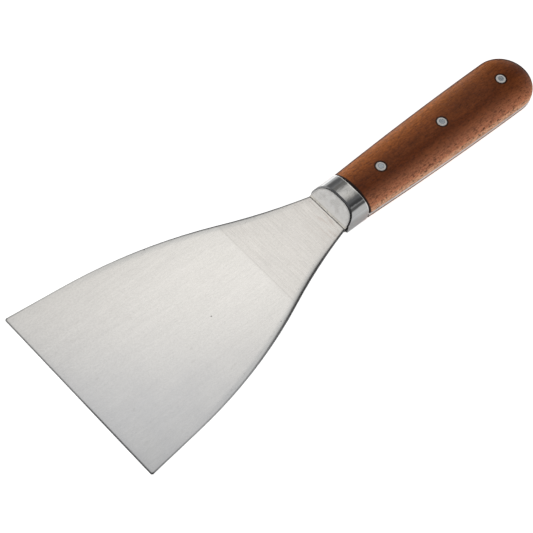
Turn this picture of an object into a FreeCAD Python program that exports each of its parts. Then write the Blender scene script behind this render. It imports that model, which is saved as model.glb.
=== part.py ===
import FreeCAD, Part
import math
import os

# Hand tool for stripping and filling: a flared steel blade with a full tang, a wedge-faced
# bolster held by an oval ferrule band, and two hardwood scales on three two-part rivets.
# Axes: +X runs from the working edge to the butt, +Z is normal to the blade's upper face,
# +Y completes the right-handed set.  The origin is the middle of the working edge.
# The tool is symmetric about the planes Y = 0 and Z = 0.  All sizes are in millimetres.

# Blade
EDGE_WIDTH = 100.0          # straight working edge
EDGE_THICKNESS = 0.7        # blade thickness at the working edge
STOCK_THICKNESS = 2.0       # blade and tang thickness behind the grind line
CORNER_CHAMFER = 0.8        # small flats on the two working corners
GRIND_LINE_X = 107.8        # where the taper grind on both faces begins
FLANK_STRAIGHT_X = 31.0     # the flank is straight up to here
FLANK_STEEPEST_X = 108.3    # the flank changes from convex to concave here
FLANK_EDGE_ANGLE = 6.0      # flank angle to the axis at the working edge, degrees
FLANK_STEEPEST_ANGLE = 22.6  # steepest flank angle, degrees

# Bolster and ferrule band
BOLSTER_FRONT_X = 153.2     # line where the bolster's sloping faces meet the blade
JOINT_X = 168.5             # rear rim of the band
NECK_HALF_WIDTH = 12.0      # tang half-width inside the band, and the bolster's half-width
BOLSTER_HALF_HEIGHT = 8.15
BOLSTER_LIP = 0.25          # blunt front edge of each bolster block
BOLSTER_SLOPE = 48.0        # angle between the sloping faces and the blade, degrees
OVAL_POWER = 2.9            # exponent of the squarish oval of the bolster and the band
OVAL_POINTS = 48            # points the oval curve passes through
BAND_WALL = 0.65
BAND_CLEARANCE = 0.02       # between the bolster and the inside of the band
BAND_FRONT_X = 154.9        # front rim of the band at the tang's two edges
BAND_SETBACK = 0.45         # how far the band's sloping rim stands behind the bolster's face
BAND_RIM_ROUND = 0.3        # rounding of the band's rear outer rim

# Handle
SCALE_GAP = 0.3             # gap between the band and the scales
SCALE_FRONT_CHAMFER = 0.5
HANDLE_FRONT_HALF_WIDTH = 12.9
HANDLE_BUTT_RADIUS = 15.5   # half-circle that closes the handle at the butt
BUTT_CENTRE_X = 274.5       # centre of that half-circle
SCALE_FRONT_HEIGHT = 7.9    # height of a scale above the tang at the band
SCALE_BUTT_HEIGHT = 8.4     # height of a scale above the tang at the butt centre
SCALE_SECTIONS = 6          # sections the crowned scale is lofted through

# Two-part rivets
RIVET_FIRST_X = 187.4
RIVET_PITCH = 41.9
RIVET_COUNT = 3
SLEEVE_RADIUS = 2.45
CORE_RADIUS = 1.30
CORE_CLEARANCE = 0.02       # between the core pin and the sleeve's bore
TANG_HOLE_RADIUS = 2.50
SCALE_HOLE_RADIUS = 2.62
RIVET_STAND_PROUD = 0.15    # top of the rivet above the crown of the scale
RIVET_DOME = 0.30           # how far the domed sleeve end falls from its bore to its rim
RIVET_DOME_MIDDLE = 0.35    # share of that fall reached half-way out

HALF_STOCK = STOCK_THICKNESS / 2.0
FAR = 400.0                 # larger than the whole tool, for cutting tools
SAME_PLACE = 0.01           # coordinates closer than this count as equal
AXIS_SWAP_TURN = 120.0      # turn about (1, 1, 1) that carries the XY plane onto the YZ plane


def vec(x, y, z=0.0):
    return FreeCAD.Vector(x, y, z)


def sin_deg(angle):
    return math.sin(math.radians(angle))


def cos_deg(angle):
    return math.cos(math.radians(angle))


# ---------------------------------------------------------------- blade

def flank_arc_point(start, start_angle, end_x, end_angle, x):
    """Point at x on the arc that turns evenly in sine from start_angle to end_angle."""
    share = (x - start.x) / (end_x - start.x)
    sine = sin_deg(start_angle) + share * (sin_deg(end_angle) - sin_deg(start_angle))
    radius = (end_x - start.x) / (sin_deg(end_angle) - sin_deg(start_angle))
    drop = radius * (cos_deg(start_angle) - math.sqrt(1.0 - sine * sine))
    return vec(x, start.y - drop)


def bolster_end_angle(steepest):
    """Flank angle at the bolster that lands the concave arc on the neck's half-width."""
    run = BOLSTER_FRONT_X - FLANK_STEEPEST_X
    fall = steepest.y - NECK_HALF_WIDTH
    return 2.0 * math.degrees(math.atan2(fall, run)) - FLANK_STEEPEST_ANGLE


def blade_flank():
    """One side of the blade: a chamfer, a straight, a convex arc and a concave arc."""
    slope = math.tan(math.radians(FLANK_EDGE_ANGLE))
    half = EDGE_WIDTH / 2.0
    edge = vec(0.0, half - CORNER_CHAMFER)
    corner = vec(CORNER_CHAMFER, half - CORNER_CHAMFER * slope)
    straight_end = vec(FLANK_STRAIGHT_X, half - FLANK_STRAIGHT_X * slope)
    turn = (straight_end, FLANK_EDGE_ANGLE, FLANK_STEEPEST_X, FLANK_STEEPEST_ANGLE)
    turn_mid = flank_arc_point(*turn, (FLANK_STRAIGHT_X + FLANK_STEEPEST_X) / 2.0)
    steepest = flank_arc_point(*turn, FLANK_STEEPEST_X)
    end_angle = bolster_end_angle(steepest)
    back = (steepest, FLANK_STEEPEST_ANGLE, BOLSTER_FRONT_X, end_angle)
    back_mid = flank_arc_point(*back, (FLANK_STEEPEST_X + BOLSTER_FRONT_X) / 2.0)
    neck = flank_arc_point(*back, BOLSTER_FRONT_X)
    return [
        Part.LineSegment(edge, corner),
        Part.LineSegment(corner, straight_end),
        Part.Arc(straight_end, turn_mid, steepest),
        Part.Arc(steepest, back_mid, neck),
    ], neck


def handle_half_width(x):
    """Half-width of the handle: it swells towards the butt and levels out at its centre."""
    share = (BUTT_CENTRE_X - x) / (BUTT_CENTRE_X - scale_front_x())
    return HANDLE_BUTT_RADIUS - (HANDLE_BUTT_RADIUS - HANDLE_FRONT_HALF_WIDTH) * share ** 2


def scale_height(x):
    """Height of the scale's crown above the tang."""
    share = (BUTT_CENTRE_X - x) / (BUTT_CENTRE_X - scale_front_x())
    return SCALE_BUTT_HEIGHT - (SCALE_BUTT_HEIGHT - SCALE_FRONT_HEIGHT) * share ** 2


def scale_front_x():
    return JOINT_X + SCALE_GAP


def tang_side(neck):
    """One side of the tang: parallel neck, shoulder, then the handle's swelling side."""
    shoulder = scale_front_x()
    inner = vec(shoulder, neck.y)
    outer = vec(shoulder, handle_half_width(shoulder))
    middle_x = (shoulder + BUTT_CENTRE_X) / 2.0
    middle = vec(middle_x, handle_half_width(middle_x))
    butt = vec(BUTT_CENTRE_X, HANDLE_BUTT_RADIUS)
    return [
        Part.LineSegment(neck, inner),
        Part.LineSegment(inner, outer),
        Part.Arc(outer, middle, butt),
    ]


def blade_outline():
    """Plan outline of blade and tang as one closed wire."""
    flank, neck = blade_flank()
    side = flank + tang_side(neck)
    edges = [segment.toShape() for segment in side]
    mirrored = [edge.mirror(vec(0, 0), vec(0, 1)) for edge in edges]
    half = EDGE_WIDTH / 2.0 - CORNER_CHAMFER
    working_edge = Part.LineSegment(vec(0, -half), vec(0, half)).toShape()
    butt = Part.Arc(
        vec(BUTT_CENTRE_X, HANDLE_BUTT_RADIUS),
        vec(BUTT_CENTRE_X + HANDLE_BUTT_RADIUS, 0),
        vec(BUTT_CENTRE_X, -HANDLE_BUTT_RADIUS),
    ).toShape()
    ordered = Part.__sortEdges__([working_edge, butt] + edges + mirrored)
    return Part.Wire(ordered)


def side_prism(points):
    """Prism across the whole width from a side outline given as (x, z) points."""
    corners = [vec(x, -FAR, z) for x, z in points]
    wire = Part.makePolygon(corners + corners[:1])
    return Part.Face(wire).extrude(vec(0, 2.0 * FAR, 0))


def rivet_x(index):
    return RIVET_FIRST_X + index * RIVET_PITCH


def drill(shape, radius):
    """Cut the rivet holes through a shape."""
    for index in range(RIVET_COUNT):
        hole = Part.makeCylinder(radius, 2.0 * FAR, vec(rivet_x(index), 0, -FAR))
        shape = shape.cut(hole)
    return shape


def make_blade():
    plate = Part.Face(blade_outline()).extrude(vec(0, 0, STOCK_THICKNESS))
    plate.translate(vec(0, 0, -HALF_STOCK))
    half_edge = EDGE_THICKNESS / 2.0
    ground = side_prism([
        (0.0, -half_edge),
        (GRIND_LINE_X, -HALF_STOCK),
        (FAR, -HALF_STOCK),
        (FAR, HALF_STOCK),
        (GRIND_LINE_X, HALF_STOCK),
        (0.0, half_edge),
    ])
    return drill(plate.common(ground), TANG_HOLE_RADIUS)


# ---------------------------------------------------------------- bolster and band

def oval_prism(half_width, half_height, front_x, rear_x):
    """Prism along X whose section is the squarish oval |y/a|^n + |z/b|^n = 1."""
    section = []
    for index in range(OVAL_POINTS):
        turn = 2.0 * math.pi * index / OVAL_POINTS
        across = math.copysign(abs(math.cos(turn)) ** (2.0 / OVAL_POWER), math.cos(turn))
        up = math.copysign(abs(math.sin(turn)) ** (2.0 / OVAL_POWER), math.sin(turn))
        section.append(vec(front_x, half_width * across, half_height * up))
    curve = Part.BSplineCurve()
    curve.interpolate(Points=section, PeriodicFlag=True)
    face = Part.Face(Part.Wire(curve.toShape()))
    return face.extrude(vec(rear_x - front_x, 0, 0))


def slope_x(height, setback=0.0):
    """X of the bolster's sloping face at a height above the mid-plane."""
    rise = height - HALF_STOCK - BOLSTER_LIP
    return BOLSTER_FRONT_X + setback + rise / math.tan(math.radians(BOLSTER_SLOPE))


def make_bolster(side):
    """Wedge-faced block on one side of the tang; side is +1 for the top, -1 below."""
    block = oval_prism(NECK_HALF_WIDTH, BOLSTER_HALF_HEIGHT, BOLSTER_FRONT_X, JOINT_X)
    top = 2.0 * BOLSTER_HALF_HEIGHT
    wedge = side_prism([
        (BOLSTER_FRONT_X, side * HALF_STOCK),
        (BOLSTER_FRONT_X, side * (HALF_STOCK + BOLSTER_LIP)),
        (slope_x(top), side * top),
        (JOINT_X, side * top),
        (JOINT_X, side * HALF_STOCK),
    ])
    return block.common(wedge)


def make_band():
    """Oval band whose front rim slopes back, parallel to the bolster's faces."""
    inner_width = NECK_HALF_WIDTH + BAND_CLEARANCE
    inner_height = BOLSTER_HALF_HEIGHT + BAND_CLEARANCE
    outer = oval_prism(inner_width + BAND_WALL, inner_height + BAND_WALL, BAND_FRONT_X, JOINT_X)
    outer = outer.makeFillet(BAND_RIM_ROUND, edges_at_x(outer, JOINT_X))
    inner = oval_prism(inner_width, inner_height, BOLSTER_FRONT_X, FAR)
    top = 2.0 * BOLSTER_HALF_HEIGHT
    slope = math.tan(math.radians(BOLSTER_SLOPE))
    rim_height = (BAND_FRONT_X - BOLSTER_FRONT_X - BAND_SETBACK) * slope + HALF_STOCK + BOLSTER_LIP
    profile = side_prism([
        (BAND_FRONT_X, -rim_height),
        (slope_x(top, BAND_SETBACK), -top),
        (FAR, -top),
        (FAR, top),
        (slope_x(top, BAND_SETBACK), top),
        (BAND_FRONT_X, rim_height),
    ])
    return outer.cut(inner).common(profile)


def edges_at_x(shape, x):
    """Edges of a shape that lie wholly in the plane at x."""
    found = []
    for edge in shape.Edges:
        box = edge.BoundBox
        if abs(box.XMin - x) < SAME_PLACE and abs(box.XMax - x) < SAME_PLACE:
            found.append(edge)
    return found


# ---------------------------------------------------------------- handle scales

def scale_section(x, half_width, height):
    """Half-ellipse that stands on the tang's upper face at x."""
    major = max(half_width, height)
    minor = min(half_width, height)
    ellipse = Part.Ellipse(vec(0, 0), major, minor)
    arc = Part.ArcOfEllipse(ellipse, 0.0, math.pi).toShape()
    arc.rotate(vec(0, 0), vec(1, 1, 1), AXIS_SWAP_TURN)
    arc.translate(vec(x, 0, HALF_STOCK))
    base = Part.LineSegment(vec(x, -half_width, HALF_STOCK), vec(x, half_width, HALF_STOCK))
    return Part.Wire(Part.__sortEdges__([arc, base.toShape()]))


def scale_body():
    """Crowned bar lofted from just behind the band to the butt centre."""
    start = scale_front_x() + SCALE_FRONT_CHAMFER
    sections = []
    for index in range(SCALE_SECTIONS):
        x = start + (BUTT_CENTRE_X - start) * index / (SCALE_SECTIONS - 1)
        sections.append(scale_section(x, handle_half_width(x), scale_height(x)))
    return Part.makeLoft(sections, True, False)


def scale_chamfer():
    """Short tapered start of the scale, which leaves a shadow line behind the band."""
    start = scale_front_x()
    end = start + SCALE_FRONT_CHAMFER
    small = scale_section(
        start,
        handle_half_width(start) - SCALE_FRONT_CHAMFER,
        scale_height(start) - SCALE_FRONT_CHAMFER,
    )
    full = scale_section(end, handle_half_width(end), scale_height(end))
    return Part.makeLoft([small, full], True, True)


def scale_butt():
    """Quarter of an ellipsoid that rounds off the butt."""
    ball = Part.makeSphere(HANDLE_BUTT_RADIUS)
    keep = Part.makeBox(FAR, 2.0 * FAR, FAR, vec(0, -FAR, 0))
    squash = FreeCAD.Matrix()
    squash.scale(vec(1.0, 1.0, SCALE_BUTT_HEIGHT / HANDLE_BUTT_RADIUS))
    dome = ball.common(keep).transformGeometry(squash)
    dome.translate(vec(BUTT_CENTRE_X, 0, HALF_STOCK))
    return dome


def make_scale(side):
    """One hardwood scale; side is +1 for the top, -1 for the bottom."""
    whole = scale_body().fuse([scale_chamfer(), scale_butt()]).removeSplitter()
    whole = drill(whole, SCALE_HOLE_RADIUS)
    if side < 0:
        whole = whole.mirror(vec(0, 0), vec(0, 0, 1))
    return whole


# ---------------------------------------------------------------- rivets

def rivet_half_height(index):
    return HALF_STOCK + scale_height(rivet_x(index)) + RIVET_STAND_PROUD


def turned(points, dome_mids, x):
    """Solid of revolution about a vertical axis at x from an (r, z) outline.

    dome_mids maps the index of a side to the middle point that bends it into an arc.
    """
    edges = []
    for index, start in enumerate(points):
        end = points[(index + 1) % len(points)]
        first = vec(start[0], 0, start[1])
        last = vec(end[0], 0, end[1])
        if index in dome_mids:
            mid = dome_mids[index]
            edges.append(Part.Arc(first, vec(mid[0], 0, mid[1]), last).toShape())
        else:
            edges.append(Part.LineSegment(first, last).toShape())
    solid = Part.Face(Part.Wire(edges)).revolve(vec(0, 0, 0), vec(0, 0, 1), 360.0)
    solid.translate(vec(x, 0, 0))
    return solid


def make_rivet_sleeve(index):
    """Tubular sleeve with softly domed ends."""
    top = rivet_half_height(index)
    bore = CORE_RADIUS + CORE_CLEARANCE
    rim = top - RIVET_DOME
    mid_radius = (bore + SLEEVE_RADIUS) / 2.0
    mid_height = top - RIVET_DOME_MIDDLE * RIVET_DOME
    outline = [
        (bore, -top),
        (SLEEVE_RADIUS, -rim),
        (SLEEVE_RADIUS, rim),
        (bore, top),
    ]
    domes = {0: (mid_radius, -mid_height), 2: (mid_radius, mid_height)}
    return turned(outline, domes, rivet_x(index))


def make_rivet_core(index):
    """Core pin that fills the sleeve and ends flush with it."""
    top = rivet_half_height(index)
    return Part.makeCylinder(CORE_RADIUS, 2.0 * top, vec(rivet_x(index), 0, -top))


# ---------------------------------------------------------------- export

def export(shape, node):
    shape.exportStep("parts/" + node + ".step")


os.makedirs("parts", exist_ok=True)
export(make_blade(), "blade")
export(make_bolster(1), "bolster_top")
export(make_bolster(-1), "bolster_bottom")
export(make_band(), "ferrule_band")
export(make_scale(1), "handle_scale_top")
export(make_scale(-1), "handle_scale_bottom")
for number in range(RIVET_COUNT):
    export(make_rivet_sleeve(number), "rivet_sleeve_%d" % (number + 1))
    export(make_rivet_core(number), "rivet_core_%d" % (number + 1))
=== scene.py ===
"""Looks of the drywall taping knife: finishes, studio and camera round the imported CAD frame.

Everything is in metres in the CAD frame: +X runs from the working edge to the butt, +Y left, +Z up.
The CAD parts keep their own meshes. Modifiers round the corners of the blade and the bolster
blocks, every part gets a procedural finish, and a light tent with an overhead panel lights them.

Some kinds of named value come again and again:
    a fade   (low, high, start, end): a smooth change from start at low to end at high, or from
             0 to 1 where only low and high are given. Fades over places are in millimetres.
    a line   (inner, outer, inside): inside up to inner millimetres from the middle of the line,
             fading to nothing at outer.
    a noise  ((along, across, up), detail, roughness, offset, warp): the size of its features in
             millimetres, how rough it is, where in the noise it is read and how far it is warped.
    a tone   (red, green, blue).
"""

import math

import bpy
from mathutils import Matrix, Vector


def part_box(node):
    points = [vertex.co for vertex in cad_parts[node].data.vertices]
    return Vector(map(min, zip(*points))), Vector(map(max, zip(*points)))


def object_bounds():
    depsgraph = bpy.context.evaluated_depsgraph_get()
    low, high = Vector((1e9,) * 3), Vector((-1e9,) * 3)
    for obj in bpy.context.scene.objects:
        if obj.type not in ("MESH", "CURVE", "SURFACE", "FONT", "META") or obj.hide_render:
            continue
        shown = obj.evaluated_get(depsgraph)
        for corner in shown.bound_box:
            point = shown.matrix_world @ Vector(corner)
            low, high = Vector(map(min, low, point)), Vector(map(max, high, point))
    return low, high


MM = 0.001
WHITE = (1.0, 1.0, 1.0)
BLACK = (0.0, 0.0, 0.0)

# Camera: a long lens looking down on the knife from its right-hand side, ahead of the working edge.
CAMERA_TARGET = Vector((0.1111, -0.0034, 0.0))
CAMERA_DISTANCE = 0.9469
CAMERA_HEADING = math.radians(-143.49)
CAMERA_ELEVATION = math.radians(57.18)
CAMERA_ROLL = math.radians(12.45)
LENS = 138.86
SENSOR = 36.0

# Floor: it glows as a light table does. Its glow is lower on the knife's right and in a patch under the
# blade, a painted shadow of the knife that shows only in reflections.
FLOOR_SIZE = 6.0
FLOOR_ROUGHNESS = 0.9
FLOOR_CLOUD = ((400.0, 400.0, 400.0), 2.0, 0.5)
FLOOR_TONES = ((0.93, 0.93, 0.93), (0.92, 0.92, 0.92))
FLOOR_GLOW_SHADED_RIGHT = (-20.0, 20.0, 0.34, 1.05)
FLOOR_GLOW_SEEN = 0.80
FLOOR_SHADOW_MIDDLE = (75.0 * MM, 0.0)
FLOOR_SHADOW_STRETCH = 1.6
FLOOR_PAINTED_SHADOW = (55.0, 90.0, 0.40, 1.0)

# Light tent: bright low down and darker overhead, about an axis that leans off the vertical. The
# change is between two elevations. Two dark flags and a small bright one are there to be mirrored.
TENT_LOW = 0.70
TENT_HIGH = 0.36
TENT_AXIS_HEADING = math.radians(75.0)
TENT_AXIS_TILT = math.radians(14.0)
TENT_CHANGE = (math.radians(24.0), math.radians(38.0))
FLAGS = (
    # heading, elevation, inner and outer angular radius in degrees, then the level inside
    (-12.0, 64.0, 27.0, 33.0, 0.36),
    (72.0, 35.0, 12.0, 23.0, 0.42),
    (-26.0, 56.8, 2.5, 7.0, 2.4),
)

# Overhead panel, in its own plane: distances in metres from the panel's origin, along its heading
# and to the right of it. It is dim near the knife, bright in the middle and dim far off and on the
# right. A slightly brighter ridge runs slantwise across it.
PANEL_HEIGHT = 1.0
PANEL_HEADING = math.radians(51.27)
PANEL_START = 0.25
PANEL_END = 1.15
PANEL_LEFT = -0.35
PANEL_RIGHT = 0.85
PANEL_DIM = 0.30
PANEL_MIDDLE = 0.665
PANEL_BRIGHT = 1.05
PANEL_FIRST_RISE = (0.36, 0.50, PANEL_DIM, PANEL_MIDDLE)
PANEL_SECOND_RISE = (0.56, 0.62, 0.0, PANEL_BRIGHT - PANEL_MIDDLE)
PANEL_FALL = (0.62, 0.83, 1.0, 0.28)
PANEL_FALL_SPREAD = 0.4
PANEL_RIGHT_FALL = (0.30, 0.50, 1.0, 0.33)
PANEL_RIDGE_SLOPE = 0.60
PANEL_RIDGE_START = -0.20
PANEL_RIDGE = (0.03, 0.24, 1.0, 0.79)
PANEL_COOL = (0.99, 1.0, 1.02)
PANEL_WARM = (1.0, 0.972, 0.925)
PANEL_WARMS = (0.53, 0.61)

# Edge rounding on the CAD parts.
BLADE_EDGE_ROUND = 0.22 * MM
BOLSTER_EDGE_ROUND = 0.25 * MM
EDGE_SEGMENTS = 3
SHARP_ANGLE = math.radians(35.0)
WELD_DISTANCE = 0.001 * MM
FLAT_FACE_WEIGHT = 100

# Values that the shader helpers share.
NOISE_MIDDLE = 0.5
BEVEL_SAMPLES = 16
DOT_CORE = 0.6
DOT_CHANCE_EDGE = 0.01
MOTTLED = (0.3, 0.7)

# Dirt and painted shade in the step where the blade meets the bolster blocks.
SEAM_DIRT_AND_SHADE_TONE = (0.10, 0.08, 0.07)


class Shader:
    """A material's node tree, with short ways to add the nodes it needs."""

    def __init__(self, name):
        self.material = bpy.data.materials.new(name)
        self.material.use_nodes = True
        self.tree = self.material.node_tree
        self.bsdf = self.tree.nodes["Principled BSDF"]
        self.place = self.add("ShaderNodeTexCoord").outputs["Object"]
        self.facing = self.add("ShaderNodeTexCoord").outputs["Normal"]

    def add(self, kind, inputs=None, **settings):
        """Adds a node with its settings, and feeds its inputs."""
        node = self.tree.nodes.new(kind)
        for key, value in settings.items():
            setattr(node, key, value)
        for key, value in (inputs or {}).items():
            self.feed(node.inputs[key], value)
        return node

    def feed(self, socket, value):
        """Links a socket to another node's output, or sets it to a plain value."""
        if isinstance(value, bpy.types.NodeSocket):
            self.tree.links.new(value, socket)
            return
        if socket.type == "RGBA" and len(value) == 3:
            value = (*value, 1.0)
        socket.default_value = value

    def finish(self, **values):
        """Feeds the surface's own inputs, named with underscores for spaces, and gives the material."""
        for key, value in values.items():
            self.feed(self.bsdf.inputs[key.replace("_", " ")], value)
        return self.material

    def calc(self, operation, *values):
        """Arithmetic on numbers."""
        node = self.add("ShaderNodeMath", dict(enumerate(values)), operation=operation)
        return node.outputs[0]

    def times(self, first, *others):
        """The product of two or more numbers."""
        for other in others:
            first = self.calc("MULTIPLY", first, other)
        return first

    def vector(self, operation, *values, output="Vector"):
        """Arithmetic on vectors, with output "Value" where the result is a number."""
        node = self.add("ShaderNodeVectorMath", dict(enumerate(values)), operation=operation)
        return node.outputs[output]

    def join(self, *values):
        """A vector from its parts."""
        return self.add("ShaderNodeCombineXYZ", dict(enumerate(values))).outputs[0]

    def parts(self, vector):
        """A vector's X, Y and Z."""
        return self.add("ShaderNodeSeparateXYZ", {"Vector": vector}).outputs

    def fade(self, value, low, high, start=0.0, end=1.0):
        """A smooth change from start at low to end at high."""
        inputs = {"Value": value, "From Min": low, "From Max": high, "To Min": start, "To Max": end}
        return self.add("ShaderNodeMapRange", inputs, interpolation_type="SMOOTHSTEP").outputs[0]

    def fade_mm(self, value, low, high, start=0.0, end=1.0, origin=0.0):
        """A fade over a place in metres, with low and high in millimetres past the origin."""
        return self.fade(value, origin + low * MM, origin + high * MM, start, end)

    def line(self, value, middle, inner, outer, inside):
        """A line: inside up to inner millimetres from the middle, and fading out to nothing at outer."""
        away = self.calc("ABSOLUTE", self.calc("SUBTRACT", value, middle))
        return self.fade_mm(away, inner, outer, inside, 0.0)

    def blend(self, share, first, second):
        """A number that goes from first to second as the share goes from 0 to 1."""
        return self.add("ShaderNodeMix", {0: share, 2: first, 3: second}).outputs[0]

    def mix(self, share, first, second, how="MIX"):
        """A colour that goes from first to second as the share goes from 0 to 1."""
        node = self.add("ShaderNodeMix", data_type="RGBA", blend_type=how)
        self.feed(node.inputs[0], share)
        self.feed(node.inputs[6], first)
        self.feed(node.inputs[7], second)
        return node.outputs[2]

    def shade(self, colour, level):
        """A colour made darker or lighter by a level, where 1 is no change."""
        grey = self.add("ShaderNodeCombineColor", {0: level, 1: level, 2: level}).outputs[0]
        return self.mix(1.0, colour, grey, "MULTIPLY")

    def cells(self, size, offset):
        """The place, counted in cells of a size in millimetres from an offset."""
        scale = tuple(1.0 / (side * MM) for side in size)
        inputs = {"Vector": self.place, "Location": (offset, offset, offset), "Scale": scale}
        return self.add("ShaderNodeMapping", inputs).outputs[0]

    def noise(self, size, detail, roughness, offset=0.0, warp=0.0):
        """Noise from 0 to 1 whose features are about size millimetres in X, Y and Z."""
        inputs = {"Vector": self.cells(size, offset), "Scale": 1.0, "Detail": detail}
        inputs |= {"Roughness": roughness, "Distortion": warp}
        return self.add("ShaderNodeTexNoise", inputs).outputs["Fac"]

    def uneven(self, noise, depth, base):
        """Adds noise to a base, as much below it as above it."""
        return self.calc("MULTIPLY_ADD", self.calc("SUBTRACT", noise, NOISE_MIDDLE), depth, base)

    def dots(self, size, radius, share, offset):
        """Small round marks, 1 inside a mark, in a share of a grid's cells. The radius is in cells."""
        grid = self.add("ShaderNodeTexVoronoi", {"Vector": self.cells(size, offset), "Scale": 1.0})
        inside = self.fade(grid.outputs["Distance"], radius * DOT_CORE, radius, 1.0, 0.0)
        chance = self.parts(grid.outputs["Color"])[0]
        return self.times(inside, self.fade(chance, share, share + DOT_CHANCE_EDGE, 1.0, 0.0))

    def turn(self, radius):
        """How far a corner rounded over the radius would turn the surface: 0 on the flat."""
        rounded = self.add("ShaderNodeBevel", {"Radius": radius}, samples=BEVEL_SAMPLES).outputs[0]
        lean = self.vector("CROSS_PRODUCT", rounded, self.facing)
        return self.vector("LENGTH", lean, output="Value")

    def tilted(self, share):
        """The surface normal, turned by a share of the way towards straight up (down, below Z = 0)."""
        pole = self.join(0.0, 0.0, self.calc("SIGN", self.parts(self.place)[2]))
        node = self.add("ShaderNodeMix", {0: share, 4: self.facing, 5: pole}, data_type="VECTOR")
        return self.vector("NORMALIZE", node.outputs[1])

    def bump(self, height, depth, normal=None):
        """A normal tilted by a height from 0 to 1 that stands for a depth in millimetres."""
        inputs = {"Height": height, "Distance": depth * MM}
        if normal is not None:
            inputs["Normal"] = normal
        return self.add("ShaderNodeBump", inputs).outputs[0]


# Blade steel. The grind line is at a share of the way from the working edge, at X = 0, to the
# bolster's front. Places along the knife are from the grind line or from the bolster's front.
# Specks are dots: the size of the grid's cells, the radius and the share of cells that have one.
GRIND_SHARE = 107.8 / 153.2
GRIND_CHANGE = (-2.2, 2.2)
GRIND_LINE = (0.15, 0.6, 0.14)
GRIND_LINE_TONE = (0.35, 0.34, 0.33)
BRUSHED_FINE = ((9.0, 0.70, 5.0), 4.0, 0.7)
BRUSHED_BROAD = ((60.0, 2.2, 5.0), 2.0, 0.5, 3.1)
CROSS_FINE = ((0.8, 12.0, 5.0), 4.0, 0.7, 7.7)
CROSS_BROAD = ((1.6, 30.0, 5.0), 2.0, 0.5, 5.2)
BLADE_MOTTLE = ((18.0, 14.0, 10.0), 3.0, 0.55, 1.3)
BLADE_GRAIN = ((1.1, 0.7, 5.0), 3.0, 0.7, 12.6)
GROUND_TONES = ((0.86, 0.855, 0.85), (0.93, 0.925, 0.915))
NECK_TONES = ((0.80, 0.79, 0.78), (0.86, 0.85, 0.84))
FINE_DEPTH = (*GRIND_CHANGE, 0.045, 0.30)
BROAD_DEPTH = 0.05
GRAIN_DEPTH = 0.14
STREAK_LEAN = 0.5
STREAK_WEAR = (-10.0, 30.0, 1.3, 2.1)
STAINS = ((5.0, 3.4, 5.0), 2.0, 0.5, 9.4)
STAIN_SHARE = (0.66, 0.80, 0.0, 0.22)
STAIN_TONE = (0.62, 0.60, 0.57)
SPECKS = ((11.0, 9.0, 40.0), 0.038, 0.16, 2.4)
SPECK_SHARE = 0.6
SPECK_TONE = (0.16, 0.13, 0.11)
SMEARS = ((1.1, 7.0, 5.0), 2.0, 0.5, 17.5)
SEAM_WIDTH = (-0.40, -0.15, 0.0, 0.9)
SEAM_GAPS = (0.3, 0.5, 0.55, 1.0)
SMEAR_REACH = (-18.0, -2.0)
SMEAR_SIDES = (-2.0, 4.0, 1.0, 0.4)
SMEAR_SHARE = (0.42, 0.68, 0.0, 0.40)
SMEAR_TONE = (0.60, 0.50, 0.46)
AHEAD_OF_BOLSTER = (1.0, 2.0, 1.0, 0.0)
TANG_DARKENING = (40.0, 110.0, 0.0, 0.6)
TANG_TONE = (0.50, 0.42, 0.36)
BLADE_POLISH = (0.6, 1.4, 0.145, 0.205)
BRUSH_HEIGHT = 0.004
SPECK_HEIGHT = 0.05


def blade_steel():
    """Ground and brushed blade steel: brushed along the knife, cross-ground at the neck."""
    sh = Shader("blade_steel_brushed")
    along = sh.parts(sh.place)[0]
    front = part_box("bolster_top")[0].x
    grind_line = front * GRIND_SHARE
    ahead = sh.fade_mm(along, *AHEAD_OF_BOLSTER, origin=front)
    neck = sh.fade_mm(along, *GRIND_CHANGE, origin=grind_line)
    fine = sh.blend(neck, sh.noise(*BRUSHED_FINE), sh.noise(*CROSS_FINE))
    broad = sh.blend(neck, sh.noise(*BRUSHED_BROAD), sh.noise(*CROSS_BROAD))
    mottle = sh.noise(*BLADE_MOTTLE)
    mottled = sh.fade(mottle, *MOTTLED)
    specks = sh.dots(*SPECKS)

    colour = sh.mix(neck, sh.mix(mottled, *GROUND_TONES), sh.mix(mottled, *NECK_TONES))
    fine_depth = sh.fade_mm(along, *FINE_DEPTH, origin=grind_line)
    colour = sh.shade(colour, brush_streaks(sh, fine, fine_depth, broad))
    colour = sh.mix(sh.fade(sh.noise(*STAINS), *STAIN_SHARE), colour, STAIN_TONE)
    colour = sh.mix(sh.times(specks, SPECK_SHARE), colour, SPECK_TONE)
    colour = sh.mix(sh.line(along, grind_line, *GRIND_LINE), colour, GRIND_LINE_TONE)
    colour = soil_and_shade_seam(sh, colour, front, ahead)
    colour = paint_outline_reflection(sh, colour, ahead)
    # The tang is darker and browner towards the butt.
    colour = sh.mix(sh.fade_mm(along, *TANG_DARKENING, origin=front), colour, TANG_TONE)

    rough = sh.fade(sh.calc("ADD", fine, mottle), *BLADE_POLISH)
    normal = sh.bump(fine, BRUSH_HEIGHT)
    normal = sh.bump(broad, BRUSH_HEIGHT, normal)
    normal = sh.bump(sh.calc("SUBTRACT", 0.0, specks), SPECK_HEIGHT, normal)
    return sh.finish(Base_Color=colour, Metallic=1.0, Roughness=rough, Normal=normal)


def brush_streaks(sh, fine, fine_depth, broad):
    """The level that brushing gives the steel, near 1: streaks, stronger towards the left rear."""
    along, across, _ = sh.parts(sh.place)
    streak = sh.times(sh.calc("SUBTRACT", fine, NOISE_MIDDLE), fine_depth)
    streak = sh.uneven(broad, BROAD_DEPTH, streak)
    streak = sh.uneven(sh.noise(*BLADE_GRAIN), GRAIN_DEPTH, streak)
    towards_left = sh.calc("MULTIPLY_ADD", along, STREAK_LEAN, across)
    return sh.calc("MULTIPLY_ADD", streak, sh.fade_mm(towards_left, *STREAK_WEAR), 1.0)


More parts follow.
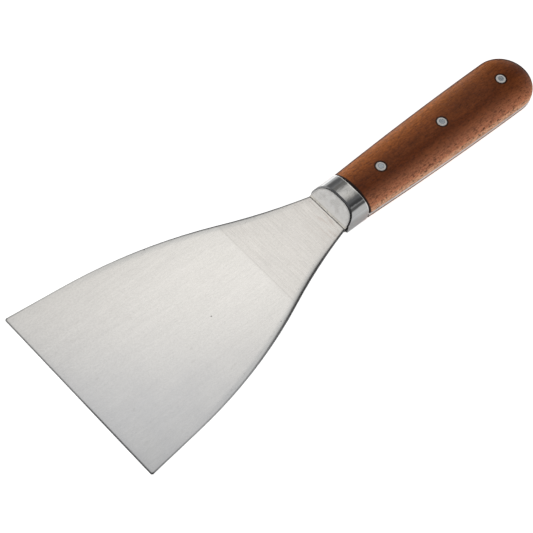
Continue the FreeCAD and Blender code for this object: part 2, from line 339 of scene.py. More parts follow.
def soil_and_shade_seam(sh, colour, front, ahead):
    """Dirt and painted shade in the seam in front of the bolster, and faint pink smears on the neck before
    it.
    """
    along, across, _ = sh.parts(sh.place)
    smears = sh.noise(*SMEARS)
    seam = sh.fade_mm(along, *SEAM_WIDTH, origin=front)
    seam = sh.times(seam, sh.fade(smears, *SEAM_GAPS), ahead)
    colour = sh.mix(seam, colour, SEAM_DIRT_AND_SHADE_TONE)
    near_seam = sh.fade_mm(along, *SMEAR_REACH, origin=front)
    smeared = sh.times(sh.fade(smears, *SMEAR_SHARE), near_seam, sh.fade_mm(across, *SMEAR_SIDES))
    return sh.mix(smeared, colour, SMEAR_TONE)


# The blade's outline, painted dark as a reflection of the dark side of the room: how dark it is along the
# flanks and at the working edge, and its layers.
# Places along the blade are millimetres behind the working edge. Turns are those of Shader.turn.
FLANK_DEPTH = (40.0, 112.0, 0.34, 1.0)
WORKING_EDGE = (1.0, 2.5, 1.0, 0.0)
WORKING_EDGE_SIDES = (-15.0, 5.0, 1.0, 0.7)
OUTLINE_PAINTED_REFLECTION_TONE = (0.03, 0.03, 0.032)
SIDE_FACES = (0.5, 0.95, 0.97, 0.0)
HALO_RADIUS = 5.0 * MM
HALO_TURN = (0.0, 0.22, 0.0, 0.34)
HALO_GROWTH = (25.0, 70.0, 0.25, 1.0)
HALO_END = (118.0, 146.0, 1.0, 0.3)
HALO_PAINTED_REFLECTION_TONE = (0.36, 0.40, 0.43)
SCUFFS = ((2.6, 0.9, 5.0), 3.0, 0.6, 21.4)
SCUFF_SHARE = (0.60, 0.72, 0.0, 0.40)
SCUFF_TURN = (0.0, 0.08)
SCUFF_START = (30.0, 50.0)
SCUFF_TONE = (0.34, 0.32, 0.31)
LINE_RADIUS = 1.5 * MM
LINE_RADIUS_ADDED = 2.0 * MM
ADDED_ON_RIGHT = (-6.0, 0.0, 1.0, 0.3)
ADDED_FROM = (55.0, 110.0)
ADDED_UNTIL = (125.0, 150.0, 1.0, 0.3)
SOFT_TURN = (0.01, 0.25, 0.0, 0.5)
SOFT_PAINTED_REFLECTION_TONE = (0.25, 0.26, 0.27)
LINE_TURN = (0.20, 0.46, 0.0, 0.96)


def paint_outline_reflection(sh, colour, ahead):
    """Painted dark reflection along the blade's outline, where the rolled flat would turn away and mirror
    the dark side of the room, and on the side faces.
    """
    along, across, _ = sh.parts(sh.place)
    edge_depth = sh.times(sh.fade_mm(along, *WORKING_EDGE), sh.fade_mm(across, *WORKING_EDGE_SIDES))
    depth = sh.times(sh.calc("MAXIMUM", sh.fade_mm(along, *FLANK_DEPTH), edge_depth), ahead)
    # Painted dark reflection on the side faces, then a soft band and a dark line on the rolled outline.
    side = sh.fade(sh.calc("ABSOLUTE", sh.parts(sh.facing)[2]), *SIDE_FACES)
    colour = sh.mix(sh.times(side, depth), colour, OUTLINE_PAINTED_REFLECTION_TONE)
    colour = paint_halo_and_scuffs(sh, colour, along, ahead)
    middle = sh.times(sh.fade_mm(along, *ADDED_FROM), sh.fade_mm(along, *ADDED_UNTIL))
    added = sh.times(sh.fade_mm(across, *ADDED_ON_RIGHT), middle)
    turn = sh.turn(sh.calc("MULTIPLY_ADD", added, LINE_RADIUS_ADDED, LINE_RADIUS))
    colour = sh.mix(sh.times(sh.fade(turn, *SOFT_TURN), depth), colour, SOFT_PAINTED_REFLECTION_TONE)
    return sh.mix(sh.times(sh.fade(turn, *LINE_TURN), depth), colour, OUTLINE_PAINTED_REFLECTION_TONE)


def paint_halo_and_scuffs(sh, colour, along, ahead):
    """A few scuffs, and a soft blue-grey painted reflection beside the blade's outline."""
    turn = sh.turn(HALO_RADIUS)
    scuffs = sh.times(sh.fade(sh.noise(*SCUFFS), *SCUFF_SHARE), sh.fade(turn, *SCUFF_TURN))
    scuffs = sh.times(scuffs, sh.fade_mm(along, *SCUFF_START), ahead)
    colour = sh.mix(scuffs, colour, SCUFF_TONE)
    # Painted blue-grey reflection beside the outline.
    halo_reflection = sh.times(sh.fade(turn, *HALO_TURN), sh.fade_mm(along, *HALO_GROWTH))
    halo_reflection = sh.times(halo_reflection, sh.fade_mm(along, *HALO_END), ahead)
    return sh.mix(halo_reflection, colour, HALO_PAINTED_REFLECTION_TONE)


# Bolster steel. The blocks are squarish ovals: |y / a| ** power + |z / b| ** power = 1. Heights are
# from the middle of the blade's thickness, up or down. Only the sloping faces look forward.
OVAL_POWER = 2.9
BOLSTER_SCRATCHES = ((0.5, 6.0, 2.0), 3.0, 0.6)
BOLSTER_MOTTLE = ((3.5, 3.0, 3.0), 3.0, 0.6, 4.4)
BOLSTER_MOTTLED = (0.35, 0.65)
BOLSTER_TONES = ((0.74, 0.725, 0.70), (0.92, 0.905, 0.88))
# Painted light low on the face, painted highlights on the rim and foot line, painted shade in the gap
# behind the face.
BOLSTER_LOW_PAINTED_LIGHT = (1.2, 4.5, 0.8, 0.0)
BOLSTER_LOW_LIGHT_TONE = (0.98, 0.955, 0.91)
BOLSTER_SCRATCHED = (0.55, 0.8, 0.0, 0.35)
BOLSTER_SCRATCH_TONE = (0.55, 0.54, 0.52)
BOLSTER_RIM_HIGHLIGHT = (0.86, 0.93, 0.0, 0.85)
BOLSTER_RIM_HIGHLIGHT_TONE = (1.0, 0.99, 0.97)
BOLSTER_OFF_FACE = (-0.36, -0.18)
BOLSTER_GAP_SHADE_SHARE = 0.97
BOLSTER_GAP_SHADE_TONES = ((0.02, 0.02, 0.02), (0.09, 0.09, 0.09))
BOLSTER_GAP_SHADE_LEFT = (-7.0, -2.0)
BOLSTER_FOOT_DIRT_AND_SHADE = (1.20, 1.30, 0.9, 0.0)
BOLSTER_FOOT_HIGHLIGHT_HEIGHT = 1.65 * MM
BOLSTER_FOOT_HIGHLIGHT = (0.25, 0.45, 1.0)
BOLSTER_FOOT_HIGHLIGHT_TONE = (1.0, 0.97, 0.90)
BOLSTER_EDGE_TILT = 0.9
BOLSTER_POLISH = (*MOTTLED, 0.26, 0.36)
BOLSTER_SCRATCH_DEPTH = 0.004
BOLSTER_DENT_DEPTH = 0.05


def bolster_steel():
    """Satin bolster steel: fine scratches and dents, painted light low on the face, painted highlights on
    the rim and the foot line, painted shade in the gap behind the face, and dirt with painted shade on the
    lip.
    """
    sh = Shader("bolster_steel_satin")
    scratches = sh.noise(*BOLSTER_SCRATCHES)
    mottle = sh.noise(*BOLSTER_MOTTLE)
    _, across, height = sh.parts(sh.place)
    height = sh.calc("ABSOLUTE", height)
    colour = sh.mix(sh.fade(mottle, *BOLSTER_MOTTLED), *BOLSTER_TONES)
    # Painted light: the bolster is lighter and warmer low down, near the blade.
    colour = sh.mix(sh.fade_mm(height, *BOLSTER_LOW_PAINTED_LIGHT), colour, BOLSTER_LOW_LIGHT_TONE)
    colour = sh.mix(sh.fade(scratches, *BOLSTER_SCRATCHED), colour, BOLSTER_SCRATCH_TONE)
    # Painted highlight along the oval outline of the face.
    rim_highlight = sh.fade(bolster_level(sh, across, height), *BOLSTER_RIM_HIGHLIGHT)
    colour = sh.mix(rim_highlight, colour, BOLSTER_RIM_HIGHLIGHT_TONE)
    # Painted shade on every face but the sloping one, darkest on the right, in the gap to the band.
    off_face = sh.fade(sh.parts(sh.facing)[0], *BOLSTER_OFF_FACE)
    gap_shade = sh.mix(sh.fade_mm(across, *BOLSTER_GAP_SHADE_LEFT), *BOLSTER_GAP_SHADE_TONES)
    colour = sh.mix(sh.times(off_face, BOLSTER_GAP_SHADE_SHARE), colour, gap_shade)
    # Dirt and painted shade on the low lip of the bolster, where it meets the blade.
    colour = sh.mix(sh.fade_mm(height, *BOLSTER_FOOT_DIRT_AND_SHADE), colour, SEAM_DIRT_AND_SHADE_TONE)
    # Painted highlight: a bright warm line along the foot of the face.
    foot_highlight = sh.line(height, BOLSTER_FOOT_HIGHLIGHT_HEIGHT, *BOLSTER_FOOT_HIGHLIGHT)
    colour = sh.mix(foot_highlight, colour, BOLSTER_FOOT_HIGHLIGHT_TONE)

    bright = sh.times(sh.calc("MAXIMUM", rim_highlight, foot_highlight), sh.calc("SUBTRACT", 1.0, off_face))
    normal = sh.tilted(sh.times(bright, BOLSTER_EDGE_TILT))
    normal = sh.bump(scratches, BOLSTER_SCRATCH_DEPTH, normal)
    normal = sh.bump(mottle, BOLSTER_DENT_DEPTH, normal)
    rough = sh.fade(mottle, *BOLSTER_POLISH)
    return sh.finish(Base_Color=colour, Metallic=1.0, Roughness=rough, Normal=normal)


def bolster_level(sh, across, height):
    """The oval's formula at a place: 0 in the middle of the bolster and 1 on its outline."""
    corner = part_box("bolster_top")[1]
    sideways = sh.calc("DIVIDE", sh.calc("ABSOLUTE", across), corner.y)
    upward = sh.calc("DIVIDE", height, corner.z)
    return sh.calc("ADD", *(sh.calc("POWER", share, OVAL_POWER) for share in (sideways, upward)))


# Band chrome. The crown is told by shares of the band's height. The front rim, in the step behind the
# bolster's face, is painted with shade, darkest on the right and lightest on the left.
BAND_SMEARS = ((6.0, 4.0, 4.0), 3.0, 0.6)
BAND_SCRATCHES = ((0.15, 9.0, 5.0), 2.0, 0.6, 2.0)
BAND_DENTS = ((3.2, 2.4, 2.4), 2.0, 0.5, 5.6)
BAND_SMEARED = (0.35, 0.7)
BAND_TONES = ((0.62, 0.62, 0.615), (0.57, 0.575, 0.58))
BAND_SCRATCHED = (0.68, 0.8, 0.0, 0.35)
BAND_SCRATCH_TONE = (0.50, 0.50, 0.50)
BAND_CROWN = (0.80, 0.97)
# Painted dark reflection on the crown, round a lighter patch.
CROWN_DARK_FROM_REAR = 5.0 * MM
CROWN_DARK_ACROSS = -1.2 * MM
CROWN_DARK_UNEVEN = 3.0 * MM
CROWN_DARK_RADII = (1.2, 3.4)
CROWN_DARK_SHARE = 0.55
CROWN_DARK_REFLECTION_TONE = (0.44, 0.445, 0.455)
# Painted highlight on the rear rim; painted shade on the front rim.
BAND_REAR_HIGHLIGHT = (-0.75, -0.45, 0.0, 0.9)
BAND_REAR_HIGHLIGHT_TONE = (0.98, 0.98, 0.97)
BAND_FRONT_RIM_SHADE = (-0.70, -0.5, 0.97, 0.0)
BAND_FRONT_DARKEST = (0.015, 0.015, 0.016)
BAND_FRONT_DARK = (0.09, 0.09, 0.095)
BAND_FRONT_DARKENS = (-9.5, -6.0)
BAND_FRONT_LEFT = (0.35, 0.35, 0.35)
BAND_FRONT_LIGHTENS = (4.0, 10.0)
BAND_POLISH = (0.35, 0.75, 0.05, 0.11)
BAND_SMEAR_DEPTH = 0.05
BAND_DENT_DEPTH = 0.02


def band_chrome():
    """Bright plated band with faint smears and handling scratches, a painted dark reflection on the crown,
    a painted highlight on the rear rim and painted shade on the front rim.
    """
    sh = Shader("band_chrome")
    along, across, _ = sh.parts(sh.place)
    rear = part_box("ferrule_band")[1].x
    smears = sh.noise(*BAND_SMEARS)
    dents = sh.noise(*BAND_DENTS)
    colour = sh.mix(sh.fade(smears, *BAND_SMEARED), *BAND_TONES)
    colour = sh.mix(sh.fade(sh.noise(*BAND_SCRATCHES), *BAND_SCRATCHED), colour, BAND_SCRATCH_TONE)
    # Painted dark reflection on the crown, round a lighter patch.
    colour = sh.mix(band_crown_reflection(sh, dents), colour, CROWN_DARK_REFLECTION_TONE)
    # Painted highlight along the rear rim.
    colour = sh.mix(sh.fade_mm(along, *BAND_REAR_HIGHLIGHT, origin=rear), colour, BAND_REAR_HIGHLIGHT_TONE)
    # Painted shade on the front rim, darkest on the right and lightest on the left.
    front_rim_shade = sh.mix(sh.fade_mm(across, *BAND_FRONT_DARKENS), BAND_FRONT_DARKEST, BAND_FRONT_DARK)
    front_rim_shade = sh.mix(sh.fade_mm(across, *BAND_FRONT_LIGHTENS), front_rim_shade, BAND_FRONT_LEFT)
    colour = sh.mix(sh.fade(sh.parts(sh.facing)[0], *BAND_FRONT_RIM_SHADE), colour, front_rim_shade)
    rough = sh.fade(smears, *BAND_POLISH)
    normal = sh.bump(dents, BAND_DENT_DEPTH, sh.bump(smears, BAND_SMEAR_DEPTH))
    return sh.finish(Base_Color=colour, Metallic=1.0, Roughness=rough, Normal=normal)


def band_crown_reflection(sh, dents):
    """Painted dark reflection on the band's crown, all round a lighter patch with an uneven outline."""
    along, across, up = sh.parts(sh.place)
    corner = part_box("ferrule_band")[1]
    crown_start, crown_full = BAND_CROWN
    crown = sh.fade(sh.calc("ABSOLUTE", up), crown_start * corner.z, crown_full * corner.z)
    middle = sh.join(corner.x - CROWN_DARK_FROM_REAR, CROWN_DARK_ACROSS)
    away = sh.vector("DISTANCE", sh.join(along, across), middle, output="Value")
    away = sh.uneven(dents, CROWN_DARK_UNEVEN, away)
    return sh.times(sh.fade_mm(away, *CROWN_DARK_RADII), crown, CROWN_DARK_SHARE)


# Hardwood. Places along the handle are behind the front of the scales. Sides are told by how far
# the surface looks sideways: -1 straight right, 0 up or down, 1 straight left.
# Painted light on the sides: a lighter sheen on the right and its steep faces, an orange light on the
# upper left.
WOOD_FIGURE = ((55.0, 7.0, 7.0), 4.0, 0.55, 0.0, 0.6)
WOOD_CLOUD = ((26.0, 10.0, 10.0), 2.0, 0.5, 6.3)
WOOD_GRAIN = ((9.0, 0.7, 0.7), 3.0, 0.6, 2.2)
WOOD_PORES = ((2.6, 0.75, 0.75), 3.0, 0.6, 8.1)
WOOD_FLECKS = ((2.2, 1.0, 1.0), 2.0, 0.6, 14.2)
WOOD_DUST = ((0.9, 0.5, 0.5), 1.0, 0.5, 19.3)
HEART_TONES = ((0.185, 0.044, 0.011), (0.285, 0.078, 0.021))
CLOUD_SHARE = (0.35, 0.75, 0.0, 0.5)
CLOUD_TONE = (0.130, 0.031, 0.009)
WORN_LENGTH = (45.0, 85.0, 0.75, 0.0)
WORN_SIDE = (-1.0, 7.0)
WORN_TONE = (0.46, 0.130, 0.036)
RIGHT_SIDE = (-0.92, -0.16, 1.0, 0.0)
RIGHT_PAINTED_SHEEN_TONE = (0.78, 0.30, 0.15)
LEFT_SIDE = (0.05, 0.62)
LEFT_LENGTH = (65.0, 95.0, 1.0, 0.72)
LEFT_PAINTED_LIGHT_TONE = (0.70, 0.215, 0.045)
LOW_LEFT_SIDE = (0.68, 0.92)
LOW_LEFT_PAINTED_LIGHT_TONE = (0.36, 0.115, 0.040)
STEEP_RIGHT_SIDE = (-0.94, -0.78, 1.0, 0.0)
STEEP_RIGHT_SHEEN_TONE = (0.96, 0.51, 0.30)
GRAIN_SHARE = (0.35, 0.75, 0.0, 0.30)
GRAIN_TONE = (0.10, 0.028, 0.012)
FLECK_WEIGHT = 0.65
DUST_WEIGHT = 0.35
FLECK_DEPTH = 0.9
FLECK_DEPTH_RIGHT = 1.4
FLECK_CONTRAST = 2.2
PORE_SPAN = (0.56, 0.68)
PORE_SHARE = 0.5
PORE_TONE = (0.09, 0.022, 0.012)
SPOT_SPAN = (0.52, 0.64)
SPOT_SIDE = (-0.55, -0.10, 0.60, 0.0)
SPOT_TONE = (0.15, 0.026, 0.014)
WOOD_RIVET_RADII = (2.8, 3.7)
WOOD_RIVET_TONE = (0.03, 0.012, 0.008)
# Painted shade in the gap behind the band.
FRONT_GAP_SHADE = (0.8, 1.4, 0.97, 0.0)
FRONT_GAP_SHADE_TONE = (0.02, 0.012, 0.010)
TANG_SEAM = (1.02, 1.30, 0.2)
TANG_SEAM_TONE = (0.05, 0.02, 0.012)
GLUE_BOTTOM = (-2.3, -1.6, 0.0, 0.75)
GLUE_TOP = (-0.95, -0.85, 1.0, 0.0)
GLUE_TONE = (0.10, 0.085, 0.075)
GLANCING_BLEND = 0.5
# Painted shade: a dark outline at glancing angles.
WOOD_OUTLINE = (0.58, 0.80)
WOOD_OUTLINE_SIDE = (-0.6, -0.2)
WOOD_OUTLINE_SHARE = 0.92
WOOD_OUTLINE_SHADE_TONE = (0.04, 0.014, 0.008)
WOOD_GLOSS = (0.4, 0.9, 0.2, 0.0)
WOOD_GLOSS_LENGTH = (85.0, 108.0, 1.0, 0.3)
WOOD_POLISH = (0.7, 1.4, 0.38, 0.55)
PORE_DEPTH = 0.05
GRAIN_HEIGHT = 0.02


def hardwood(rivets):
    """Oiled red-brown hardwood with fine grain along the handle and pores, its sides painted with light
    and sheen.
    """
    sh = Shader("hardwood_oiled")
    along = sh.parts(sh.place)[0]
    facing_across = sh.parts(sh.facing)[1]
    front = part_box("handle_scale_top")[0].x
    cloud = sh.noise(*WOOD_CLOUD)
    grain = sh.noise(*WOOD_GRAIN)
    pores = sh.fade(sh.noise(*WOOD_PORES), *PORE_SPAN)
    right = sh.fade(facing_across, *RIGHT_SIDE)
    steep_right = sh.fade(facing_across, *STEEP_RIGHT_SIDE)

    # Painted light: a lighter sheen on the right, an orange light on the left that is weaker on its
    # steepest faces.
    colour = sh.mix(right, wood_heart(sh, cloud, front), RIGHT_PAINTED_SHEEN_TONE)
    left = sh.times(sh.fade(facing_across, *LEFT_SIDE), sh.fade_mm(along, *LEFT_LENGTH, origin=front))
    colour = sh.mix(left, colour, LEFT_PAINTED_LIGHT_TONE)
    colour = sh.mix(sh.fade(facing_across, *LOW_LEFT_SIDE), colour, LOW_LEFT_PAINTED_LIGHT_TONE)
    # Painted sheen on the steep right faces.
    colour = sh.mix(steep_right, colour, STEEP_RIGHT_SHEEN_TONE)
    colour = sh.mix(sh.fade(grain, *GRAIN_SHARE), colour, GRAIN_TONE)
    colour = fleck_wood(sh, colour, pores, right, facing_across)
    colour = shade_round_rivets(sh, colour, rivets, WOOD_RIVET_RADII, WOOD_RIVET_TONE)
    colour = darken_gap_and_joints(sh, colour, front, steep_right)

    glancing = sh.add("ShaderNodeLayerWeight", {"Blend": GLANCING_BLEND}).outputs["Facing"]
    # Painted shade: a dark outline where the surface turns away from the view, except on the right.
    outline_shade = sh.times(sh.fade(glancing, *WOOD_OUTLINE), sh.fade(facing_across, *WOOD_OUTLINE_SIDE))
    colour = sh.mix(sh.times(outline_shade, WOOD_OUTLINE_SHARE), colour, WOOD_OUTLINE_SHADE_TONE)
    polished = sh.fade_mm(along, *WOOD_GLOSS_LENGTH, origin=front)
    gloss = sh.times(sh.fade(glancing, *WOOD_GLOSS), polished)
    rough = sh.fade(sh.calc("ADD", grain, cloud), *WOOD_POLISH)
    normal = sh.bump(sh.calc("SUBTRACT", 0.0, pores), PORE_DEPTH)
    normal = sh.bump(grain, GRAIN_HEIGHT, normal)
    return sh.finish(Base_Color=colour, Roughness=rough, Normal=normal, Specular_IOR_Level=gloss)


def wood_heart(sh, cloud, front):
    """The wood's own colour along the middle of the handle, worn lighter on the front left."""
    along, across, _ = sh.parts(sh.place)
    colour = sh.mix(sh.fade(sh.noise(*WOOD_FIGURE), *MOTTLED), *HEART_TONES)
    colour = sh.mix(sh.fade(cloud, *CLOUD_SHARE), colour, CLOUD_TONE)
    worn = sh.times(sh.fade_mm(along, *WORN_LENGTH, origin=front), sh.fade_mm(across, *WORN_SIDE))
    return sh.mix(worn, colour, WORN_TONE)


def fleck_wood(sh, colour, pores, right, facing_across):
    """Fine flecks and dark pores all over, stronger flecks on the right, and dark spots on the right."""
    flecks = sh.times(sh.noise(*WOOD_FLECKS), FLECK_WEIGHT)
    flecks = sh.calc("ADD", flecks, sh.times(sh.noise(*WOOD_DUST), DUST_WEIGHT))
    depth = sh.calc("MULTIPLY_ADD", right, FLECK_DEPTH_RIGHT, FLECK_DEPTH)
    colour = sh.shade(colour, sh.uneven(flecks, sh.times(depth, FLECK_CONTRAST), 1.0))
    colour = sh.mix(sh.times(pores, PORE_SHARE), colour, PORE_TONE)
    spots = sh.times(sh.fade(flecks, *SPOT_SPAN), sh.fade(facing_across, *SPOT_SIDE))
    return sh.mix(spots, colour, SPOT_TONE)


def darken_gap_and_joints(sh, colour, front, steep_right):
    """Painted shade in the gap behind the band, and the dark seam and the glue line where the wood meets
    the tang.
    """
    along, _, up = sh.parts(sh.place)
    # Painted shade in the gap just behind the band.
    colour = sh.mix(sh.fade_mm(along, *FRONT_GAP_SHADE, origin=front), colour, FRONT_GAP_SHADE_TONE)
    colour = sh.mix(sh.line(up, 0.0, *TANG_SEAM), colour, TANG_SEAM_TONE)
    glue = sh.times(sh.fade_mm(up, *GLUE_BOTTOM), sh.fade_mm(up, *GLUE_TOP), steep_right)
    return sh.mix(glue, colour, GLUE_TONE)


# Rivet metal: the sleeves are pale aluminium, greyer beside their pins, and the core pins are steel.
RIVET_SCUFFS = ((0.5, 0.9, 2.0), 3.0, 0.6)
RIVET_SCUFF_DEPTH = 0.012
RIVET_SMOOTHER = 0.05
RIVET_ROUGHER = 0.07
RIVET_TINT_SHARE = 0.95
SLEEVE_TONES = ((0.90, 0.87, 0.84), (0.99, 0.97, 0.95))
SLEEVE_ROUGHNESS = 0.45
SLEEVE_METALLIC = 0.35
SLEEVE_RING_RADII = (1.40, 1.75)
SLEEVE_RING_TONE = (0.42, 0.46, 0.50)
CORE_TONES = ((0.53, 0.60, 0.67), (0.67, 0.73, 0.80))
CORE_ROUGHNESS = 0.26
CORE_METALLIC = 1.0


def rivet_centres(nodes):
    """Centres of the rivets, from the CAD sleeves."""
    names = sorted(name for name in nodes if name.startswith("rivet_sleeve"))
    return [sum(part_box(name), Vector()) / 2 for name in names]


def shade_round_rivets(sh, colour, rivets, radii, tone):
    """Tints a surface round each rivet's axis, up to the first radius and fading out to the second."""
    for centre in rivets:
        flat = sh.vector("MULTIPLY", sh.place, (1.0, 1.0, 0.0))
        away = sh.vector("DISTANCE", flat, (centre.x, centre.y, 0.0), output="Value")
        colour = sh.mix(sh.fade_mm(away, *radii, RIVET_TINT_SHARE, 0.0), colour, tone)
    return colour


def rivet_metal(name, tones, roughness, metallic, rivets=()):
    """Lightly scuffed rivet metal, greyer beside the core pins of the rivets given."""
    sh = Shader(name)
    scuffs = sh.noise(*RIVET_SCUFFS)
    colour = sh.mix(sh.fade(scuffs, *MOTTLED), *tones)
    colour = shade_round_rivets(sh, colour, rivets, SLEEVE_RING_RADII, SLEEVE_RING_TONE)
    rough = sh.fade(scuffs, *MOTTLED, roughness - RIVET_SMOOTHER, roughness + RIVET_ROUGHER)
    normal = sh.bump(scuffs, RIVET_SCUFF_DEPTH)
    return sh.finish(Base_Color=colour, Metallic=metallic, Roughness=rough, Normal=normal)


def give_finishes(nodes):
    """Puts each finish on the CAD nodes whose names start with its key."""
    rivets = rivet_centres(nodes)
    sleeve = rivet_metal("rivet_aluminium", SLEEVE_TONES, SLEEVE_ROUGHNESS, SLEEVE_METALLIC, rivets)
    core = rivet_metal("rivet_steel", CORE_TONES, CORE_ROUGHNESS, CORE_METALLIC)
    finishes = {
        "blade": blade_steel(),
        "bolster": bolster_steel(),
        "ferrule": band_chrome(),
        "handle": hardwood(rivets),
        "rivet_sleeve": sleeve,
        "rivet_core": core,
    }
    for name, node in nodes.items():
        start = next(key for key in finishes if name.startswith(key))
        for slot in node.material_slots:
            slot.material = finishes[start]


def round_edges(node, width):
    """Breaks a CAD part's sharp corners, as the maker's deburring does."""
    weld = node.modifiers.new("weld", "WELD")
    weld.merge_threshold = WELD_DISTANCE
    bevel = node.modifiers.new("edge_round", "BEVEL")
    bevel.width = width
    bevel.segments = EDGE_SEGMENTS
    bevel.limit_method = "ANGLE"
    bevel.angle_limit = SHARP_ANGLE
    weighted = node.modifiers.new("flat_faces", "WEIGHTED_NORMAL")
    weighted.weight = FLAT_FACE_WEIGHT


def add_sheet(name, corners, material):
    """A flat sheet of the studio, which isn't part of the knife."""
    mesh = bpy.data.meshes.new(name)
    mesh.from_pydata([(*corner, 0.0) for corner in corners], [], [tuple(range(len(corners)))])
    mesh.materials.append(material)
    sheet = bpy.data.objects.new(name, mesh)
    bpy.context.scene.collection.objects.link(sheet)
    return sheet


def floor_glow():
    """The floor's material: pale, glowing, and see-through from below, so the underside can be seen. Its
    glow holds a painted shadow of the knife, seen only in reflections.
    """
    sh = Shader("floor_white")
    along, across, _ = sh.parts(sh.place)
    middle_along, middle_across = FLOOR_SHADOW_MIDDLE
    ahead = sh.calc("DIVIDE", sh.calc("SUBTRACT", along, middle_along), FLOOR_SHADOW_STRETCH)
    beside = sh.calc("SUBTRACT", across, middle_across)
    away = sh.calc("SQRT", sh.calc("ADD", *(sh.calc("POWER", side, 2.0) for side in (ahead, beside))))
    # Painted shadow: less glow on the knife's right and in a patch under the blade, for all but camera
    # rays.
    glow_with_painted_shadow = sh.times(sh.fade_mm(across, *FLOOR_GLOW_SHADED_RIGHT), sh.fade_mm(away, *FLOOR_PAINTED_SHADOW))
    seen = sh.add("ShaderNodeLightPath").outputs["Is Camera Ray"]
    from_below = sh.add("ShaderNodeNewGeometry").outputs["Backfacing"]
    return sh.finish(
        Base_Color=sh.mix(sh.noise(*FLOOR_CLOUD), *FLOOR_TONES),
        Roughness=FLOOR_ROUGHNESS,
        Specular_IOR_Level=0.0,
        Emission_Color=WHITE,
        Emission_Strength=sh.blend(seen, glow_with_painted_shadow, FLOOR_GLOW_SEEN),
        Alpha=sh.calc("SUBTRACT", 1.0, from_below),
    )


def make_floor(level):
    """A plain pale floor at a level, which the camera sees evenly lit."""
    half = FLOOR_SIZE / 2
    corners = [(-half, -half), (half, -half), (half, half), (-half, half)]
    floor = add_sheet("floor", corners, floor_glow())
    floor.location.z = level


def panel_glow():
    """The panel's material: its level rises twice and falls again away from the knife."""
    sh = Shader("light_panel")
    along, across, _ = sh.parts(sh.place)
    right = sh.times(across, -1.0)
    rise = sh.calc("ADD", sh.fade(along, *PANEL_FIRST_RISE), sh.fade(along, *PANEL_SECOND_RISE))
    spread = sh.times(sh.calc("MAXIMUM", right, 0.0), PANEL_FALL_SPREAD)
    fall = sh.fade(sh.calc("SUBTRACT", along, spread), *PANEL_FALL)
    ridge = sh.calc("MULTIPLY_ADD", along, PANEL_RIDGE_SLOPE, PANEL_RIDGE_START)
    beside = sh.calc("ABSOLUTE", sh.calc("SUBTRACT", right, ridge))
    edge = sh.times(sh.fade(right, *PANEL_RIGHT_FALL), sh.fade(beside, *PANEL_RIDGE))
    return sh.finish(
        Base_Color=BLACK,
        Specular_IOR_Level=0.0,
        Emission_Color=sh.mix(sh.fade(along, *PANEL_WARMS), PANEL_COOL, PANEL_WARM),
        Emission_Strength=sh.times(rise, fall, edge),
    )


def make_panel():
    """The overhead light panel, which the camera doesn't see."""
    left, right = -PANEL_LEFT, -PANEL_RIGHT
    corners = [(PANEL_START, left), (PANEL_END, left), (PANEL_END, right), (PANEL_START, right)]
    panel = add_sheet("light_panel", corners, panel_glow())
    panel.location.z = PANEL_HEIGHT
    panel.rotation_euler.z = PANEL_HEADING
    panel.visible_camera = False


def heading_vector(heading, elevation):
    """The direction with a heading from +X towards +Y and an elevation above the floor."""
    flat = math.cos(elevation)
    return Vector((flat * math.cos(heading), flat * math.sin(heading), math.sin(elevation)))


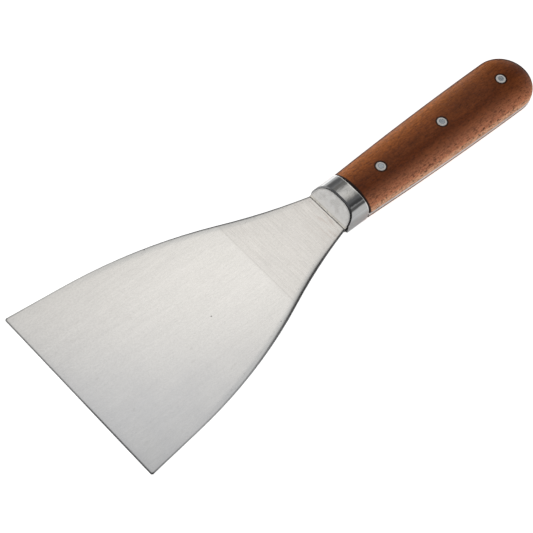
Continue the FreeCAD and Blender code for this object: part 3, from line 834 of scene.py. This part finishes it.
def make_tent():
    """The world: a light tent, brighter low down, with flags for the metal to mirror."""
    world = bpy.data.worlds.new("light_tent")
    bpy.context.scene.world = world
    world.use_nodes = True
    nodes, links = world.node_tree.nodes, world.node_tree.links
    nodes.clear()
    direction = nodes.new("ShaderNodeTexCoord").outputs["Generated"]

    def angle_share(axis, start, end, low, high):
        """Smooth change from low to high as the angle from the axis goes from start to end."""
        dot = nodes.new("ShaderNodeVectorMath")
        dot.operation = "DOT_PRODUCT"
        links.new(direction, dot.inputs[0])
        dot.inputs[1].default_value = axis
        share = nodes.new("ShaderNodeMapRange")
        share.interpolation_type = "SMOOTHSTEP"
        links.new(dot.outputs["Value"], share.inputs["Value"])
        share.inputs["From Min"].default_value = math.cos(end)
        share.inputs["From Max"].default_value = math.cos(start)
        share.inputs["To Min"].default_value = high
        share.inputs["To Max"].default_value = low
        return share.outputs[0]

    def background():
        """An even white background."""
        shader = nodes.new("ShaderNodeBackground")
        shader.inputs["Color"].default_value = (*WHITE, 1.0)
        return shader

    up = heading_vector(TENT_AXIS_HEADING, math.pi / 2 - TENT_AXIS_TILT)
    start, end = (math.pi / 2 - angle for angle in reversed(TENT_CHANGE))
    level = angle_share(up, start, end, TENT_HIGH, TENT_LOW)
    for heading, elevation, inner, outer, inside in FLAGS:
        axis = heading_vector(math.radians(heading), math.radians(elevation))
        product = nodes.new("ShaderNodeMath")
        product.operation = "MULTIPLY"
        links.new(level, product.inputs[0])
        flag = angle_share(axis, math.radians(inner), math.radians(outer), inside, 1.0)
        links.new(flag, product.inputs[1])
        level = product.outputs[0]
    tent = background()
    links.new(level, tent.inputs["Strength"])
    path = nodes.new("ShaderNodeLightPath")
    chosen = nodes.new("ShaderNodeMixShader")
    links.new(path.outputs["Is Camera Ray"], chosen.inputs[0])
    links.new(tent.outputs[0], chosen.inputs[1])
    links.new(background().outputs[0], chosen.inputs[2])
    output = nodes.new("ShaderNodeOutputWorld")
    links.new(chosen.outputs[0], output.inputs["Surface"])


def make_camera():
    """The camera, from its target, distance, heading, elevation and roll."""
    data = bpy.data.cameras.new("camera")
    data.lens = LENS
    data.sensor_width = SENSOR
    camera = bpy.data.objects.new("camera", data)
    bpy.context.scene.collection.objects.link(camera)
    back = heading_vector(CAMERA_HEADING, CAMERA_ELEVATION)
    place = Matrix.Translation(CAMERA_TARGET + back * CAMERA_DISTANCE)
    level = (-back).to_track_quat("-Z", "Y").to_matrix().to_4x4()
    camera.matrix_world = place @ level @ Matrix.Rotation(CAMERA_ROLL, 4, "Z")
    bpy.context.scene.camera = camera


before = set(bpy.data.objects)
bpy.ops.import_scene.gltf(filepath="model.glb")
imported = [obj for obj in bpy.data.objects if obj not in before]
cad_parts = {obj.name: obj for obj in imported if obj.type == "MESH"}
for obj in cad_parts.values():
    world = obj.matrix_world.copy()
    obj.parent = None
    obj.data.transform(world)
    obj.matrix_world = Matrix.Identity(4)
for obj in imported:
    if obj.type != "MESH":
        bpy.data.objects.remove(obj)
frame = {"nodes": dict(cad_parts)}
cad_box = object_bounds()
give_finishes(frame["nodes"])
round_edges(frame["nodes"]["blade"], BLADE_EDGE_ROUND)
round_edges(frame["nodes"]["bolster_top"], BOLSTER_EDGE_ROUND)
round_edges(frame["nodes"]["bolster_bottom"], BOLSTER_EDGE_ROUND)
make_floor(cad_box[0].z)
make_panel()
make_tent()
make_camera()
bpy.context.scene.view_settings.view_transform = "Standard"
